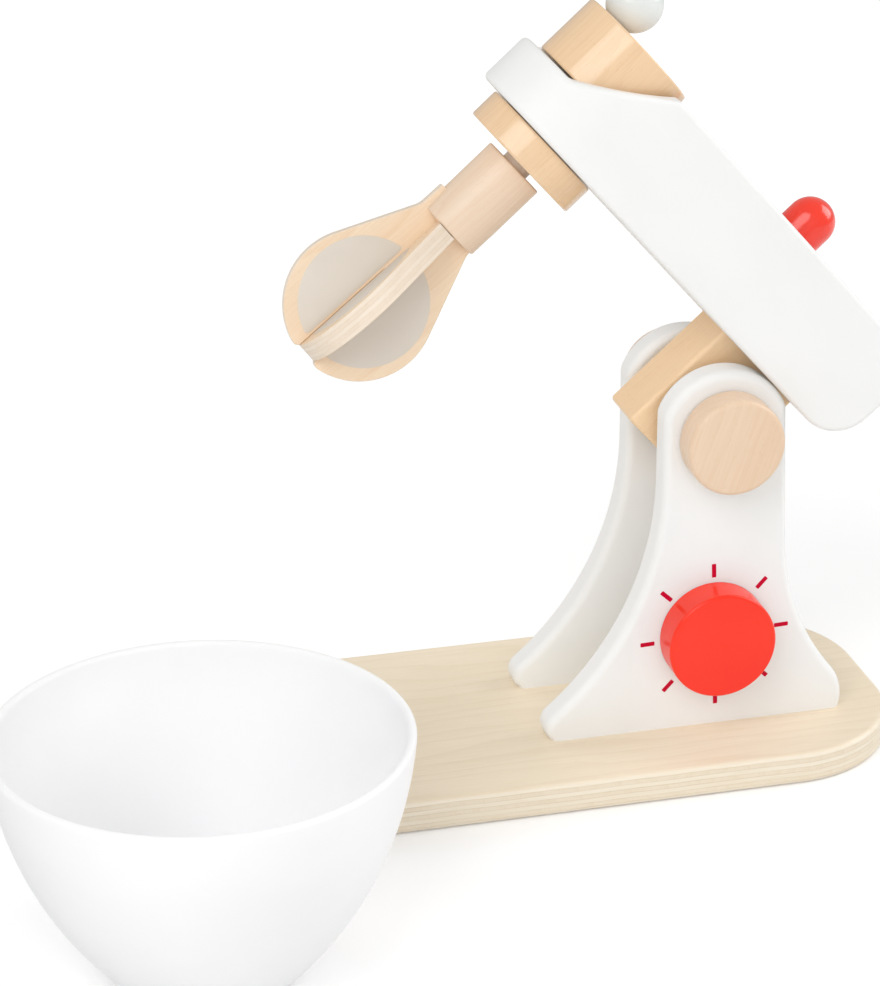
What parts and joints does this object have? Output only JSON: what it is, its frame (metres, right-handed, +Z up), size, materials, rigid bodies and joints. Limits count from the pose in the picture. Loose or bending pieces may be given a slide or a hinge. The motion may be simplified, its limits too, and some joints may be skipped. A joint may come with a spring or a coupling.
{
  "type": "toy stand mixer",
  "caption": "Wooden toy stand mixer: plywood base, white uprights, tilting arm, hand-cranked crossed whisk, red dial, and a loose white bowl.",
  "frame": {"origin": "on the table, in the base board's underside, right below the arm's pivot", "axes": "+Z up, -X towards the whisk end, +Y towards the plain upright, away from the dial"},
  "size_m": [0.3464, 0.2544, 0.2856],
  "materials": {
    "plywood": "clear matt lacquer over birch plywood with visible layers at the edge",
    "blade_plywood": "thin plywood with a pale grey painted disc on each face",
    "beech": "fine sanded beech with a clear matt lacquer",
    "white_paint": "satin white paint on wood",
    "red_paint": "glossy red paint on wood",
    "grey_paint": "glossy pale grey paint on a wooden ball",
    "zinc_steel": "zinc plated steel",
    "bowl_white": "smooth matt white"
  },
  "bodies": {
    "root": {"base_board": "plywood", "left_upright": "white_paint", "right_upright": "white_paint", "upright_screws": "zinc_steel"},
    "arm": {"arm_beam": "white_paint", "hinge_block": "beech", "block_dowels": "beech", "pivot_dowel": "beech", "left_pivot_cap": "beech", "right_pivot_cap": "beech", "left_pivot_washer": "beech", "right_pivot_washer": "beech", "start_button": "red_paint"},
    "crank": {"crank_drum": "beech", "crank_knob": "grey_paint", "crank_knob_peg": "beech", "drive_shaft": "beech", "drive_collar": "beech"},
    "whisk": {"whisk_stem": "beech", "whisk_chuck": "beech", "front_whisk_blade": "blade_plywood", "cross_whisk_blade": "blade_plywood"},
    "dial": {"dial_knob": "red_paint", "dial_screw": "zinc_steel", "dial_washer": "zinc_steel"},
    "bowl": {"mixing_bowl": "bowl_white"}
  },
  "joints": [
    {"name": "arm_tilt", "type": "hinge", "parent": "root", "child": "arm", "pos_m": [0, 0, 0.1251], "axis": [0, 1, 0], "range_deg": [-48.5, 11.5]},
    {"name": "crank_spin", "type": "hinge", "parent": "arm", "child": "crank", "pos_m": [-0.07859, 0, 0.21393], "axis": [0.749, 0, 0.6626], "continuous": true},
    {"name": "whisk_pull", "type": "slide", "parent": "crank", "child": "whisk", "axis": [-0.749, 0, -0.6626], "range_m": [0, 0.015]},
    {"name": "dial_turn", "type": "hinge", "parent": "root", "child": "dial", "pos_m": [-0.0028, -0.034, 0.0488], "axis": [0, 1, 0], "continuous": true},
    {"name": "bowl_lift", "type": "slide", "parent": "root", "child": "bowl", "axis": [0, 0, 1], "range_m": [0, 0.06]}
  ]
}
